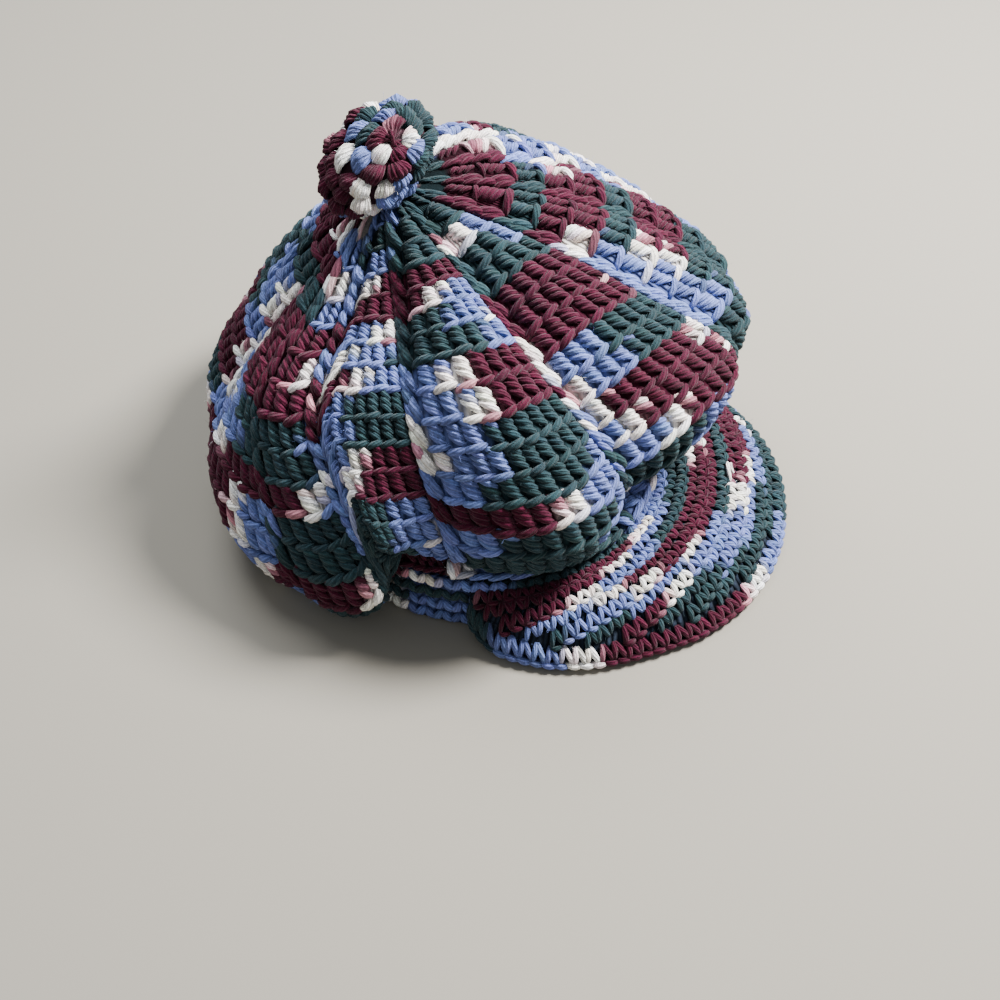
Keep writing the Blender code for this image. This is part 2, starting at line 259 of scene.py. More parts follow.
def dye_at(stitches):
    """The yarn's colour after so many stitches' worth of it, with soft changes of dye."""
    ends = np.cumsum([length for _, length in DYE_ORDER])
    whole = ends[-1]
    starts = ends - [length for _, length in DYE_ORDER]
    position = np.asarray(stitches, float) % whole
    colours = np.array([DYES[name] for name, _ in DYE_ORDER])
    k = np.searchsorted(ends, position, side="right") % len(DYE_ORDER)
    before = (position - starts[k]) / 0.3
    mixed = np.clip(before, 0, 1)[:, None]
    return colours[k] * mixed + colours[k - 1] * (1 - mixed)


# One strand of yarn, as a spindle along Z from -1 to 1, is modelled once and then laid
# along every post, loop and rib.
bpy.ops.object.select_all(action="DESELECT")
bpy.ops.mesh.primitive_uv_sphere_add(segments=STRAND_SIDES, ring_count=STRAND_RINGS, radius=1.0)
strand = bpy.context.object
for vertex in strand.data.vertices:
    wide = hypot(vertex.co.x, vertex.co.y)
    if wide > 0.01:
        fuller = wide ** 0.55
        vertex.co.x *= fuller / wide
        vertex.co.y *= fuller / wide
        vertex.co.z = np.sign(vertex.co.z) * abs(vertex.co.z) ** 1.15


def pattern_of(piece):
    """The points, faces and map of one modelled strand, which is then taken away."""
    mesh = piece.data
    pattern = {"points": np.array([vertex.co[:] for vertex in mesh.vertices]),
               "faces": [tuple(face.vertices) for face in mesh.polygons],
               "map": np.array([loop.uv[:] for loop in mesh.uv_layers[0].data])}
    bpy.data.objects.remove(piece)
    return pattern


yarn_pattern = pattern_of(strand)


def lay_strands(pattern, surface, starts, bows, ends, lifts, widths, colours, thick=0.85):
    """Strands laid on a surface along bowed lines; places are in the surface's own measure.

    starts, bows, ends: (n, 2) places; lifts: (n, 3) heights over the surface, mm, at the
    start, middle and end; widths: (n,) half widths in mm; colours: (n, 3)."""
    starts, bows, ends, lifts, widths = (np.array(values, float) for values in
                                         (starts, bows, ends, lifts, widths))
    shape = pattern["points"]
    along = (shape[:, 2] + 1) / 2

    def line(s):
        s = s[None, :, None]
        flat = ((1 - s) ** 2 * starts[:, None] + 2 * s * (1 - s) * bows[:, None]
                + s ** 2 * ends[:, None])
        points, out = surface(*np.moveaxis(flat, -1, 0))
        s = s[..., 0]
        lift = ((1 - s) ** 2 * lifts[:, :1] + 2 * s * (1 - s) * lifts[:, 1:2]
                + s ** 2 * lifts[:, 2:])
        return points + out * lift[..., None], out

    here, out = line(along)
    ahead, _ = line(np.minimum(along + 0.04, 1.04))
    back, _ = line(along - 0.04)
    tangent = ahead - back
    tangent /= np.maximum(np.linalg.norm(tangent, axis=2), 1e-6)[..., None]
    side = np.cross(out, tangent)
    side /= np.maximum(np.linalg.norm(side, axis=2), 1e-6)[..., None]
    up = np.cross(tangent, side)
    width = widths[:, None, None]
    points = (here + side * shape[None, :, :1] * width
              + up * shape[None, :, 1:2] * width * thick)
    points[..., 2] = np.maximum(points[..., 2], 0.0)
    return {"pattern": pattern, "points": points, "colours": colours,
            "length": np.linalg.norm(line(np.array([1.0]))[0] - line(np.array([0.0]))[0],
                                     axis=2)[:, 0]}


def vary(colours):
    """Small differences in depth and warmth from one strand to the next."""
    depth = np.exp(chance.normal(0, 0.13, (len(colours), 1)))
    tint = 1 + chance.normal(0, 0.03, (len(colours), 3))
    return np.clip(colours * depth * tint, 0, 1)


def yarn_strands(surface, starts, bows, ends, lifts, widths, dyes):
    """Strands of the yarn itself, each in the dye that has come up by then."""
    return lay_strands(yarn_pattern, surface, starts, bows, ends, lifts, widths,
                       vary(dye_at(dyes)))


def strands_mesh(name, sets):
    """One joined mesh of many strands, with each strand's dye and a map along its plies."""
    points = np.concatenate([s["points"] for s in sets])
    count, ring = points.shape[:2]
    pattern = sets[0]["pattern"]
    sizes = np.array([len(face) for face in pattern["faces"]])
    corners = np.concatenate([np.array(face) for face in pattern["faces"]])
    mesh = bpy.data.meshes.new(name)
    mesh.vertices.add(count * ring)
    mesh.vertices.foreach_set("co", ((points.reshape(-1, 3) * MM) + HEAD_MIDDLE).ravel())
    mesh.loops.add(count * len(corners))
    mesh.loops.foreach_set("vertex_index",
                           (corners[None] + ring * np.arange(count)[:, None]).ravel())
    mesh.polygons.add(count * len(sizes))
    first = np.concatenate([[0], np.cumsum(sizes)[:-1]])
    mesh.polygons.foreach_set("loop_start",
                              (first[None] + len(corners) * np.arange(count)[:, None]).ravel())
    mesh.update(calc_edges=True)
    mesh.validate()
    mesh.shade_smooth()
    dyed = mesh.attributes.new("dye", "FLOAT_COLOR", "POINT")
    rgba = np.ones((count, ring, 4))
    rgba[..., :3] = np.concatenate([s["colours"] for s in sets])[:, None]
    dyed.data.foreach_set("color", rgba.ravel())
    plies = mesh.uv_layers.new(name="plies")
    turns = np.concatenate([s["length"] for s in sets])[:, None] / 10.0
    shift = chance.random((count, 1))
    uv = np.empty((count, len(corners), 2))
    uv[..., 0] = pattern["map"][None, :, 0]
    uv[..., 1] = pattern["map"][None, :, 1] * turns + shift
    plies.data.foreach_set("uv", uv.ravel())
    piece = bpy.data.objects.new(name, mesh)
    bpy.context.scene.collection.objects.link(piece)
    return piece


class Socket:
    """A value in a material; Python's signs add its Math nodes."""

    def __init__(self, tree, out):
        self.tree, self.out = tree, out

    def node(self, kind, settings=None, inputs=None, output=0):
        made = self.tree.nodes.new(kind)
        for key, value in (settings or {}).items():
            setattr(made, key, value)
        for key, value in (inputs or {}).items():
            if isinstance(value, Socket):
                self.tree.links.new(value.out, made.inputs[key])
            else:
                made.inputs[key].default_value = value
        return Socket(self.tree, made.outputs[output])

    def sum(self, operation, first, second=0.0, third=0.0):
        return self.node("ShaderNodeMath", {"operation": operation},
                         {0: first, 1: second, 2: third})

    def __add__(self, other):
        return self.sum("ADD", self, other)

    def __mul__(self, other):
        return self.sum("MULTIPLY", self, other)

    def __sub__(self, other):
        return self.sum("SUBTRACT", self, other)

    def __rsub__(self, other):
        return self.sum("SUBTRACT", other, self)

    __radd__, __rmul__ = __add__, __mul__


def shader_of(name):
    material = bpy.data.materials.new(name)
    material.use_nodes = True
    tree = material.node_tree
    shader = tree.nodes["Principled BSDF"]
    return material, tree, shader


def plied_cotton(name, relief=1.0):
    """Soft matte cotton of four plies, heathered and a little fuzzy, in each strand's dye."""
    material, tree, shader = shader_of(name)
    start = Socket(tree, None)
    plies = start.node("ShaderNodeUVMap", {"uv_map": "plies"})
    split = start.node("ShaderNodeSeparateXYZ", inputs={0: plies})
    around_strand, along_strand = split, Socket(tree, split.out.node.outputs[1])
    place = start.node("ShaderNodeTexCoord", output=3)
    dye = start.node("ShaderNodeAttribute", {"attribute_name": "dye"})
    # Plies wind round the strand, finer singles wind round with them, and fibres stand up.
    turn = around_strand * 7.0 + along_strand * 2.6
    ply = start.sum("SINE", turn * (2 * pi)) * 0.5 + 0.5
    hair = start.sum("SINE", (around_strand * 19.0 + along_strand * 11.0) * (2 * pi)) * 0.5 + 0.5
    fuzz = start.node("ShaderNodeTexNoise", inputs={"Vector": place, "Scale": 1500.0,
                                                    "Detail": 3.0, "Roughness": 0.65})
    heather = start.node("ShaderNodeTexNoise", inputs={"Vector": place, "Scale": 480.0,
                                                       "Detail": 4.0, "Roughness": 0.65})
    # The plies and singles are lighter on their crests and darker in the grooves between them, as
    # painted light and shade; the heather is the yarn's own uneven tone.
    painted_shading_and_mottle = (ply * 0.42 + 0.82) * (hair * 0.2 + 0.9) * (heather * 1.5 + 0.3)
    shaded = start.node("ShaderNodeVectorMath", {"operation": "SCALE"},
                        {0: dye, "Scale": painted_shading_and_mottle})
    tree.links.new(shaded.out, shader.inputs["Base Color"])
    height = ply * 0.6 + hair * 0.18 + fuzz * 0.95
    bump = start.node("ShaderNodeBump", inputs={"Strength": 0.9 * relief,
                                                "Distance": 0.0009, "Height": height})
    tree.links.new(bump.out, shader.inputs["Normal"])
    shader.inputs["Roughness"].default_value = 0.92
    shader.inputs["Specular IOR Level"].default_value = 0.1
    shader.inputs["Sheen Weight"].default_value = 0.1
    shader.inputs["Sheen Roughness"].default_value = 0.5
    return material


round_plans = [round_plan(row) for row in range(ROUNDS)]


def gore_stitches(gores):
    """The strands of all the stitches between the ribs of these gores."""
    laid = {"start": [], "bow": [], "end": [], "lift": [], "width": [], "dye": []}

    def add(start, end, bow, lift, width, dye):
        middle = ((start[0] + end[0]) / 2 + bow[0], (start[1] + end[1]) / 2 + bow[1])
        for key, value in zip(laid, (start, middle, end, lift, width, dye)):
            laid[key].append(value)

    for row, (counts, dyes) in enumerate(round_plans):
        for gore in gores:
            width = gore_width(gore, (row + 0.5) / ROUNDS)
            if width < 9:
                continue
            rib = min(RIB_WIDTH, 0.6 * width)
            left, step = gore + rib / width / 2, (1 - rib / width) / counts[gore]
            size = min(1.15, (width - rib) / counts[gore] / STITCH_WIDTH)
            size *= float(np.clip(round_height(gore, row) / ROUND_HEIGHT, 0.85, 1.3)) ** 0.8
            for k in range(counts[gore]):
                jog = chance.normal(0, 0.05, 6)

                def spot(x, y):
                    return (left + step * (k + x + jog[0] * 0.6),
                            (row + y + jog[1] * 0.5) / ROUNDS)

                yarn = dyes[gore] + k
                fat = YARN * size * (1 + jog[2])
                # The post's three wraps, sunk in the fabric at both ends, then the ridge
                for wrap, (top, foot) in enumerate(((-0.10, 0.34), (0.13, 0.60), (0.36, 0.84))):
                    add(spot(0.03 + jog[4] * 0.6, top), spot(0.97 + jog[5] * 0.6, foot),
                        (0.02, -0.02 / ROUNDS), (-1.7, 3.5 + 5 * jog[3], -1.9), fat,
                        yarn + 0.1 + 0.2 * wrap)
                add(spot(-0.28, 1.03 + jog[4] * 0.6), spot(1.14, 0.83 + jog[5] * 0.6),
                    (0.0, 0.0), (-0.9, 3.4 + 4 * jog[2], -0.7), fat * RIDGE, yarn + 0.85)
    return yarn_strands(on_crown, *laid.values())


crown_cotton = plied_cotton("crown_cotton")
yarn_laid = []
for name, gores in (("crown_gores_left", (0, 1, 2, 3)), ("crown_gores_front", (4, 5, 6, 7)),
                    ("crown_gores_back", (8, 9, 10, 11))):
    yarn_laid.append((gore_stitches(gores), 2900))
    piece = strands_mesh(name, [yarn_laid[-1][0]])
    piece.data.materials.append(crown_cotton)
    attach(piece, "root")
    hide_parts("crown")


# ---------------------------------------------------------------- the crown's ribs
# Between the gores one stitch in each round is hooked round the post of the stitch above,
# so that the posts stand out as a thick cord running from the top to the band.

RIB_HALF_STRAND = 2.2
# Three strands in each round: left and right ends in millimetres from the rib, top and
# bottom ends in rounds, and how much yarn before the gore's first stitch
RIB_STRANDS = ((-4.0, 0.6, -0.30, 0.72, -0.9), (-1.2, 3.6, -0.02, 1.05, -0.6),
               (-3.8, 1.4, 0.30, 1.25, -0.3))


def rib_stitches():
    starts, bows, ends, lifts, widths, dyes = [], [], [], [], [], []
    for row, (counts, yarn) in enumerate(round_plans):
        for rib in range(RIBS):
            wide = 0.5 * (gore_width((rib - 1) % RIBS, (row + 0.5) / ROUNDS)
                          + gore_width(rib, (row + 0.5) / ROUNDS))
            room = min(1.0, 0.6 * wide / RIB_WIDTH)
            across = room / max(wide, 6.0)
            for left, right, top, bottom, part in RIB_STRANDS:
                jog = chance.normal(0, 0.05, 4)
                starts.append((rib + (left + 5 * jog[0]) * across, (row + top) / ROUNDS))
                ends.append((rib + (right + 5 * jog[1]) * across, (row + bottom) / ROUNDS))
                bows.append(((starts[-1][0] + ends[-1][0]) / 2 + 0.8 * across,
                             (starts[-1][1] + ends[-1][1]) / 2))
                lifts.append((-1.0, 5.4 * room + 8 * jog[2], -1.2))
                widths.append(RIB_HALF_STRAND * room * (1 + jog[3]))
                dyes.append(yarn[rib] + part)
    return yarn_strands(on_crown, starts, bows, ends, lifts, widths, dyes)


yarn_laid.append((rib_stitches(), 1300))
crown_ribs = strands_mesh("crown_ribs", [yarn_laid[-1][0]])
crown_ribs.data.materials.append(crown_cotton)
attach(crown_ribs, "root")
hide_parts("crown")


# ---------------------------------------------------------------- the crown's wrong side
# Behind the raised strands the same stitches close up into one thick fabric, whose wrong
# side is what the wearer's head touches.

WALL_SINK = 0.3            # the wall's outer face lies this far under the strands' seat
# painted shade: the wall's dye is darkened to stand for the shadow between and under the strands
WALL_PAINTED_SHADE = 0.8
WALL_POSTS = 9             # posts to a gore on the wrong side


def wall_colours(places, shares):
    """The wall takes the dye of the stitches in front of it; the caller darkens it as painted
    shade.
    """
    colours = np.empty((len(places), 3))
    rows = np.clip(np.floor(shares * ROUNDS).astype(int), 0, ROUNDS - 1)
    gores = np.floor(places).astype(int) % RIBS
    counts = np.array([plan[0] for plan in round_plans], float)[rows, gores]
    starts = np.array([plan[1] for plan in round_plans])[rows, gores]
    return dye_at(starts + (places % 1.0) * (counts + 1) - 0.5)


def coloured_piece(name, points, faces, colours, places):
    """A piece from points in millimetres, each with its colour (the yarn's dye, darkened as
    painted shade for the wall and cores) and its place on the stitches.
    """
    mesh = bpy.data.meshes.new(name)
    mesh.from_pydata(points * MM + HEAD_MIDDLE, [], faces)
    rgba = np.ones((len(points), 4))
    rgba[:, :3] = colours
    mesh.attributes.new("dye", "FLOAT_COLOR", "POINT").data.foreach_set("color", rgba.ravel())
    corners = np.empty(len(mesh.loops), int)
    mesh.loops.foreach_get("vertex_index", corners)
    mesh.uv_layers.new(name="plies").data.foreach_set("uv", places[corners].ravel())
    mesh.shade_smooth()
    piece = bpy.data.objects.new(name, mesh)
    bpy.context.scene.collection.objects.link(piece)
    return piece


def crown_wall():
    across = np.arange(len(crown_face))
    outer = crown_face - WALL_SINK * crown_out
    inner = crown_face - FABRIC * crown_out
    inner[:, -1, 2] = np.maximum(inner[:, -1, 2], outer[:, -1, 2])
    grid = np.concatenate([outer, inner[:, ::-1]], axis=1)
    grid[..., 2] = np.maximum(grid[..., 2], 0.0)
    rows = grid.shape[1]
    faces = []
    for i in across:
        i2 = (i + 1) % len(across)
        for j in range(rows - 1):
            faces.append((i * rows + j, i * rows + j + 1, i2 * rows + j + 1, i2 * rows + j))
    places = np.repeat(across / COLUMNS_IN_GORE, rows)
    shares = np.tile(np.concatenate([np.linspace(0, 1, ROWS_IN_GORE),
                                     np.linspace(1, 0, ROWS_IN_GORE)]), len(across))
    # The wall's outer face is darkened below the dye as painted shade under the strands.
    wall = coloured_piece("crown_wall", grid.reshape(-1, 3), faces,
                      wall_colours(places, shares) * WALL_PAINTED_SHADE,
                      np.column_stack([places * WALL_POSTS, shares * ROUNDS]))
    bpy.ops.object.select_all(action="DESELECT")
    wall.select_set(True)
    bpy.context.view_layer.objects.active = wall
    bpy.ops.object.mode_set(mode="EDIT")
    bpy.ops.mesh.select_all(action="SELECT")
    bpy.ops.mesh.remove_doubles(threshold=1e-6)
    bpy.ops.object.mode_set(mode="OBJECT")
    return wall


def crochet_back(name):
    """The wrong side of double crochet: soft upright posts with a loop across each round, its dye
    darkened as painted shade.
    """
    material, tree, shader = shader_of(name)
    start = Socket(tree, None)
    stitches = start.node("ShaderNodeUVMap", {"uv_map": "plies"})
    split = start.node("ShaderNodeSeparateXYZ", inputs={0: stitches})
    x, y = split, Socket(tree, split.out.node.outputs[1])
    place = start.node("ShaderNodeTexCoord", output=3)
    dye = start.node("ShaderNodeAttribute", {"attribute_name": "dye"})
    posts = start.sum("ABSOLUTE", start.sum("SINE", (x + y * 0.45) * (2 * pi)))
    ridge = start.sum("POWER", start.sum("ABSOLUTE", start.sum("COSINE", y * pi)), 6.0)
    fuzz = start.node("ShaderNodeTexNoise", inputs={"Vector": place, "Scale": 900.0,
                                                    "Detail": 3.0, "Roughness": 0.6})
    # The posts' pattern darkens the grooves between them, and the whole wrong side is darkened,
    # as painted shade; the fuzz noise is uneven tone.
    painted_shading_and_mottle = (posts * 0.45 + 0.4) * (fuzz * 0.6 + 0.7)
    shaded = start.node("ShaderNodeVectorMath", {"operation": "SCALE"},
                        {0: dye, "Scale": painted_shading_and_mottle})
    tree.links.new(shaded.out, shader.inputs["Base Color"])
    bump = start.node("ShaderNodeBump", inputs={"Strength": 1.0, "Distance": 0.002,
                                                "Height": posts * 0.8 + ridge * 0.7
                                                + fuzz * 0.35})
    tree.links.new(bump.out, shader.inputs["Normal"])
    shader.inputs["Roughness"].default_value = 0.95
    shader.inputs["Specular IOR Level"].default_value = 0.15
    return material


wall = crown_wall()
wall.data.materials.append(crochet_back("crown_wrong_side"))
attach(wall, "root")
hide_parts("crown")


# ---------------------------------------------------------------- the band
# Four close rounds of single crochet that grip the head, stiffer than the crown and a
# little narrower at the top, where the crown's stitches are gathered in.

BAND_ROUNDS = 4
BAND_STITCHES = 62
BAND_STARTS = (9.7, 19.4, 16.3, 8.3)       # the dye at the first stitch of each round
BAND_PULL = 0.8                            # and the yarn that each stitch takes
BAND_HALF_STRAND = 2.35
CORE_SINK = 0.9                            # how far the cores lie inside the stitches


def on_band(turn, height):
    """Outside of the band: turn in stitches, height in rounds from its lower rim."""
    angle = np.asarray(turn, float) * (2 * pi / BAND_STITCHES)
    rounds_up = np.clip(np.asarray(height, float), -0.1, BAND_ROUNDS + 0.1)
    height = rounds_up * BAND_HEIGHT / BAND_ROUNDS
    scale = 1.0 + (BAND_TAPER - 1.0) * height / BAND_HEIGHT
    points = np.stack([BAND_HALF_WIDTH * scale * np.cos(angle),
                       BAND_HALF_LENGTH * scale * np.sin(angle), height], axis=-1)
    out = np.stack([np.cos(angle), np.sin(angle), np.zeros_like(angle)], axis=-1)
    return points, out


def inside_band(turn, height):
    points, out = on_band(turn, height)
    return points - out * FABRIC, -out


def band_stitches(surface):
    starts, bows, ends, lifts, widths, dyes = [], [], [], [], [], []
    for row in range(BAND_ROUNDS):
        slant = 1 if row % 2 else -1
        for k in range(BAND_STITCHES):
            jog = chance.normal(0, 0.04, 3)
            for side, turn in ((0.04, 0.2), (0.96, 0.6)):      # the two legs of a V
                starts.append((k + 0.5 + jog[0], row + 0.12))
                ends.append((k + side + jog[0], row + 0.92))
                bows.append((k + (0.5 + side) / 2 + 0.1 * slant, row + 0.52))
                lifts.append((-2.0, 1.4 + 4 * jog[1], -1.3))
                widths.append(BAND_HALF_STRAND * (1 + jog[2]))
                dyes.append(BAND_STARTS[row] + k * BAND_PULL + turn)
    return yarn_strands(surface, starts, bows, ends, lifts, widths, dyes)


yarn_laid.append((band_stitches(on_band), 500))
band = strands_mesh("head_band", [yarn_laid[-1][0], band_stitches(inside_band)])
band.data.materials.append(plied_cotton("band_cotton"))
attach(band, "root")
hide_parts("band")


def closed_tube(name, rings, colours, across_turn, all_round=True):
    """A wall swept round the head from a closed outline given at each place round it."""
    count, ring = rings.shape[:2]
    faces = [(i * ring + j, i * ring + (j + 1) % ring,
              ((i + 1) % count) * ring + (j + 1) % ring, ((i + 1) % count) * ring + j)
             for i in range(count if all_round else count - 1) for j in range(ring)]
    if not all_round:
        faces += [tuple(range(ring))[::-1], tuple(range((count - 1) * ring, count * ring))]
    places = np.column_stack([np.repeat(across_turn, ring),
                              np.tile(np.arange(ring) / 2.0, count)])
    return coloured_piece(name, rings.reshape(-1, 3), faces, colours, places)


core_heights = (0.4, 10.0, 20.0, 31.6)
band_rings = []
for k in range(BAND_STITCHES):
    turn = 2 * pi * k / BAND_STITCHES
    outline = [band_outline(turn, h, CORE_SINK) for h in core_heights]
    outline += [band_outline(turn, h, FABRIC - CORE_SINK) for h in core_heights[::-1]]
    band_rings.append(outline[::-1])
# The core shows only between the stitches, so its dye is darkened to 0.6 as painted shade.
core_dyes_in_painted_shade = dye_at(np.arange(BAND_STITCHES) * BAND_PULL + 10) * 0.6
band_core = closed_tube("band_core", np.array(band_rings),
                        np.repeat(core_dyes_in_painted_shade, 2 * len(core_heights), axis=0),
                        np.arange(BAND_STITCHES) * 1.0)
band_core.data.materials.append(crochet_back("band_core"))
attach(band_core, "root")
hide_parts("band")


# ---------------------------------------------------------------- the peak
# A stiff crescent of single crochet, worked to and fro from the front of the band in rows
# that grow shorter towards the rim, with one last row worked all along the edge.

PEAK_THICKNESS = 6.0
RIM_FLAT = 1.8             # how far the top dips to the rim
PEAK_ARCH = 13.0           # how far it bows up between the band and the rim
PEAK_ROOT_HEIGHT = 28.0
# Along the rim: degrees from the peak's middle, reach from the head's middle, and height
PEAK_ROWS = (
    (-87, 88, 6), (-82, 97, 2), (-72, 107, 0), (-57, 119, 0), (-43, 129, 0), (-30, 141, 0),
    (-16, 151, 0), (0, 157, 1), (13, 157, 5), (22, 152, 9), (31, 141, 15), (43, 129, 18),
    (57, 119, 18), (72, 107, 17), (82, 97, 17), (87, 88, 18),
)
PEAK_ROW_HEIGHT = 5.3
PEAK_STITCH = 6.4
# The dye at the left end of the rim's row and of each row from the band outwards, and how
# much yarn each stitch takes
PEAK_STARTS = (17.2, 0.1, 2.3, 4.5, 18.8, 17.8, 16.4, 5.0, 15.5, 16.0, 15.8, 13.6, 13.0)
PEAK_PULL = 0.55
RIM_CLOSER = 0.95          # the edging's stitches are this much narrower
PEAK_HALF_STRAND, RIM_HALF_STRAND, SNAG_HALF_STRAND = 1.6, 1.9, 1.15
SNAG_ROW, SNAG_STITCH, SNAG_HEIGHT = 8, 14, 7.0

peak_angles = np.linspace(-87, 87, 175)
rim_knots = np.array(PEAK_ROWS, float)
peak_rim = smooth_path(rim_knots[:, 0], rim_knots[:, 1:], peak_angles)
peak_root = []
for angle, (reach, height) in zip(peak_angles, peak_rim):
    turn = radians(angle - 90.0)
    root = band_outline(atan2(sin(turn) / BAND_HALF_LENGTH, cos(turn) / BAND_HALF_WIDTH),
                        PEAK_ROOT_HEIGHT + 0.1 * height)
    peak_root.append((hypot(root[0], root[1]) + 0.3, root[2]))
peak_root = np.array(peak_root)


def on_peak(angle, inward):
    """Top of the peak: angle from its middle in degrees, and millimetres in from its rim."""
    angle, inward = np.asarray(angle, float), np.asarray(inward, float)
    reach, height, root_reach, root_height = (
        np.interp(angle, peak_angles, column) for column in
        (peak_rim[:, 0], peak_rim[:, 1], peak_root[:, 0], peak_root[:, 1]))
    width = np.maximum(reach - root_reach, 1.0)
    u = 1 - inward / width
    edge = height + PEAK_THICKNESS - RIM_FLAT
    arch = PEAK_ARCH * np.sin(pi * np.clip(u, 0, 1)) * np.minimum(1.0, width / 60.0)
    here = root_reach + width * u
    turn = np.radians(angle - 90.0)
    z = root_height + (edge - root_height) * u + arch
    return np.stack([here * np.cos(turn), here * np.sin(turn), z], axis=-1)


def in_row(row, angle, across=0.0):
    """Millimetres in from the rim: the first row edges the rim, the others follow the band."""
    if row == 0:
        return (0.5 + across) * PEAK_ROW_HEIGHT + 0.0 * angle
    width = np.interp(angle, peak_angles, peak_rim[:, 0] - peak_root[:, 0])
    return width - (row - 0.5 - across) * PEAK_ROW_HEIGHT


def spaced(angles, inward, stitch):
    """The angles between stitches of one width along a line on the peak."""
    line = on_peak(angles, inward)
    run = np.concatenate([[0], np.cumsum(np.linalg.norm(np.diff(line, axis=0), axis=1))])
    return np.interp(np.linspace(0, run[-1], int(run[-1] / stitch) + 1), run, angles)


def row_marks(row):
    """The angles between the stitches of one row, as far as it reaches to either side."""
    if row:
        there = in_row(row, peak_angles) > 1.35 * PEAK_ROW_HEIGHT
    else:
        there = peak_rim[:, 0] - peak_root[:, 0] > 4.0
    angles = np.linspace(peak_angles[there][0], peak_angles[there][-1], 100)
    return spaced(angles, in_row(row, angles), PEAK_STITCH)


def peak_face(angle, inward):
    """Points and outward directions on the top of the peak."""
    here = on_peak(angle, inward)
    sideways = on_peak(angle + 0.5, inward) - on_peak(angle - 0.5, inward)
    toward_rim = on_peak(angle, inward - 0.5) - on_peak(angle, inward + 0.5)
    out = np.cross(toward_rim, sideways)
    out /= np.maximum(np.linalg.norm(out, axis=-1), 1e-6)[..., None]
    return here, out


def peak_underside(angle, inward):
    here, out = peak_face(angle, inward)
    here = here - out * (PEAK_THICKNESS - 0.4)
    return here, -out


def peak_stitches(surface):
    starts, bows, ends, lifts, widths, dyes = [], [], [], [], [], []
    for row in range(len(PEAK_STARTS)):
        marks = row_marks(row)
        for k, (a, b) in enumerate(zip(marks[:-1], marks[1:])):
            jog = chance.normal(0, 0.05, 4)

            def spot(x, y):
                angle = a + (b - a) * (x + jog[0])
                return (angle, in_row(row, angle, y + jog[1]))

            # A V of two strands, point inward, and on every second row a bar across its top
            strands = [(spot(0.48, 0.62), spot(0.06, -0.50), 0.2),
                       (spot(0.56, 0.62), spot(0.98, -0.50), 0.5)]
            if row % 2:
                strands.append((spot(-0.12, -0.42), spot(0.86, -0.62), 0.8))
            for start, end, part in strands:
                starts.append(start)
                ends.append(end)
                bows.append(((start[0] + end[0]) / 2, (start[1] + end[1]) / 2))
                lifts.append((-1.5, 2.6 + 4 * jog[2], -0.7))
                widths.append(PEAK_HALF_STRAND * (1 + jog[3]))
                dyes.append(PEAK_STARTS[row] + (k + part) * PEAK_PULL)
    return yarn_strands(surface, starts, bows, ends, lifts, widths, dyes)


def snag():
    """A stitch of the peak that has been pulled up into a loose loop."""
    marks = row_marks(SNAG_ROW)
    low, high = marks[SNAG_STITCH], marks[SNAG_STITCH + 2]
    middle = (low + high) / 2
    starts = [(low, in_row(SNAG_ROW, low)), (high, in_row(SNAG_ROW, high))]
    bows = [(middle, in_row(SNAG_ROW, middle, 1.2)), (middle + 1, in_row(SNAG_ROW, middle, 0.9))]
    ends = [(high, in_row(SNAG_ROW, high, 0.4)), (middle, in_row(SNAG_ROW, middle, -0.6))]
    lifts = [(-0.5, SNAG_HEIGHT, 1.0), (1.0, SNAG_HEIGHT * 0.6, -1.0)]
    return yarn_strands(peak_face, starts, bows, ends, lifts, [SNAG_HALF_STRAND] * 2, [8.0, 7.6])


def rim_face(angle, round_it):
    """The peak's rounded rim: round_it runs from 0 on top to 1 underneath."""
    top, out = peak_face(angle, np.zeros_like(angle))
    turn = np.radians(angle - 90.0)
    away = np.stack([np.cos(turn), np.sin(turn), np.zeros_like(turn)], axis=-1)
    swing = (np.asarray(round_it) * pi)[..., None]
    half = (PEAK_THICKNESS - 0.6) / 2
    direction = out * np.cos(swing) + away * np.sin(swing)
    return top - out * half + direction * half - away * 1.6, direction


def rim_stitches():
    marks = spaced(peak_angles, np.zeros(len(peak_angles)), PEAK_STITCH * RIM_CLOSER)
    starts, bows, ends, lifts, widths, dyes = [], [], [], [], [], []
    for k, (a, b) in enumerate(zip(marks[:-1], marks[1:])):
        jog = chance.normal(0, 0.04, 2)
        for y0, y1, part in ((0.12, 0.42, 0.3), (0.88, 0.55, 0.7)):
            starts.append((a - (b - a) * 0.15, y0))
            ends.append((b + (b - a) * 0.1, y1))
            bows.append(((a + b) / 2, (y0 + y1) / 2))
            lifts.append((-0.5, 1.6 + 4 * jog[0], -0.3))
            widths.append(RIM_HALF_STRAND * (1 + jog[1]))
            dyes.append(PEAK_STARTS[0] + (k * RIM_CLOSER + part) * PEAK_PULL)
    return yarn_strands(rim_face, starts, bows, ends, lifts, widths, dyes)


yarn_laid.append((peak_stitches(peak_face), 2400))
peak = strands_mesh("peak_stitches", [yarn_laid[-1][0], peak_stitches(peak_underside),
                                      rim_stitches(), snag()])
peak.data.materials.append(plied_cotton("peak_cotton"))
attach(peak, "root")
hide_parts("peak")

core_rings = []
for angle in peak_angles[::2]:
    width = float(np.interp(angle, peak_angles, peak_rim[:, 0] - peak_root[:, 0]))
    inward = np.linspace(2.2, max(width - 0.4, 2.6), 12)
    upper, out = peak_face(np.full(12, angle), inward)
    lower = upper - out * (PEAK_THICKNESS - 1.4)
    core_rings.append(np.concatenate([lower, (upper - out * CORE_SINK)[::-1]]))
core_rings = np.array(core_rings)
core_rings[..., 2] = np.maximum(core_rings[..., 2], 0.5)
